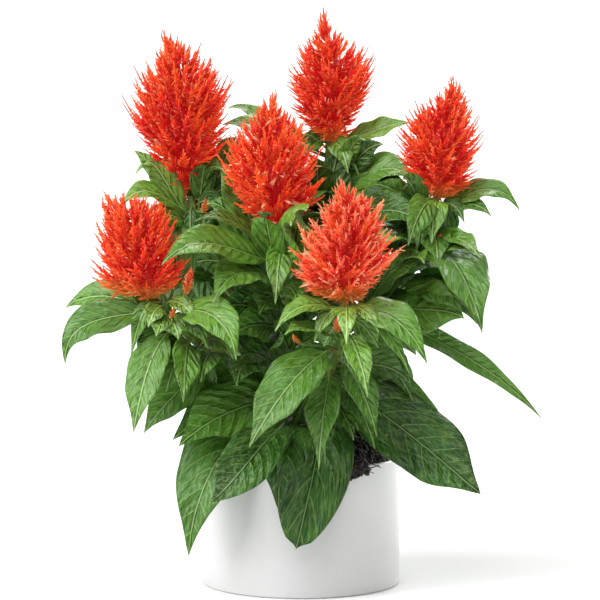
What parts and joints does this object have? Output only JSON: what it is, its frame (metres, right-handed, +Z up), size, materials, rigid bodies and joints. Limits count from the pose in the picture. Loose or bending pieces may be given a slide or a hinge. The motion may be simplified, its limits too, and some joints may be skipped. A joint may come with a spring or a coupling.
{
  "type": "potted plume celosia",
  "caption": "Bushy plume celosia in bloom, with feathery red-orange flower plumes above broad drooping leaves, planted in a plain round white pot.",
  "frame": {"origin": "centre of the pot's flat round underside, on the surface it stands on", "axes": "+Z up along the pot's axis; -Y is the plant's showing side; +X is to the right when facing that side"},
  "size_m": [0.3024, 0.2347, 0.358],
  "materials": {
    "pot": "satin",
    "soil": "matte",
    "stem": "satin",
    "leaf": "satin",
    "plume": "matte"
  },
  "bodies": {
    "root": {"pot": "pot", "soil": "soil", "centre_stem": "stem", "centre_plume": "plume", "upper_left_stem": "stem", "upper_left_plume": "plume", "back_stem": "stem", "back_plume": "plume", "right_stem": "stem", "right_plume": "plume", "left_stem": "stem", "left_plume": "plume", "front_stem": "stem", "front_plume": "plume", "left_bud": "plume", "front_bud": "plume", "right_bud": "plume", "left_leaf_1": "leaf", "left_leaf_2": "leaf", "left_leaf_3": "leaf", "left_leaf_4": "leaf", "left_leaf_5": "leaf", "left_leaf_6": "leaf", "centre_leaf_1": "leaf", "centre_leaf_2": "leaf", "centre_leaf_3": "leaf", "centre_leaf_4": "leaf", "centre_leaf_5": "leaf", "centre_leaf_6": "leaf", "centre_leaf_7": "leaf", "centre_leaf_8": "leaf", "centre_leaf_9": "leaf", "centre_leaf_10": "leaf", "front_leaf_1": "leaf", "front_leaf_2": "leaf", "front_leaf_3": "leaf", "front_leaf_4": "leaf", "front_leaf_5": "leaf", "front_leaf_6": "leaf", "front_leaf_7": "leaf", "right_leaf_1": "leaf", "right_leaf_2": "leaf", "right_leaf_3": "leaf", "right_leaf_4": "leaf", "right_leaf_5": "leaf", "right_leaf_6": "leaf", "right_leaf_7": "leaf", "back_leaf_1": "leaf", "back_leaf_2": "leaf", "back_leaf_3": "leaf", "back_leaf_4": "leaf", "upper_left_leaf_1": "leaf", "upper_left_leaf_2": "leaf", "rear_leaf_1": "leaf", "rear_leaf_2": "leaf", "rear_leaf_3": "leaf", "rear_leaf_4": "leaf", "rear_leaf_5": "leaf", "rear_leaf_6": "leaf", "rear_leaf_7": "leaf"}
  },
  "joints": []
}
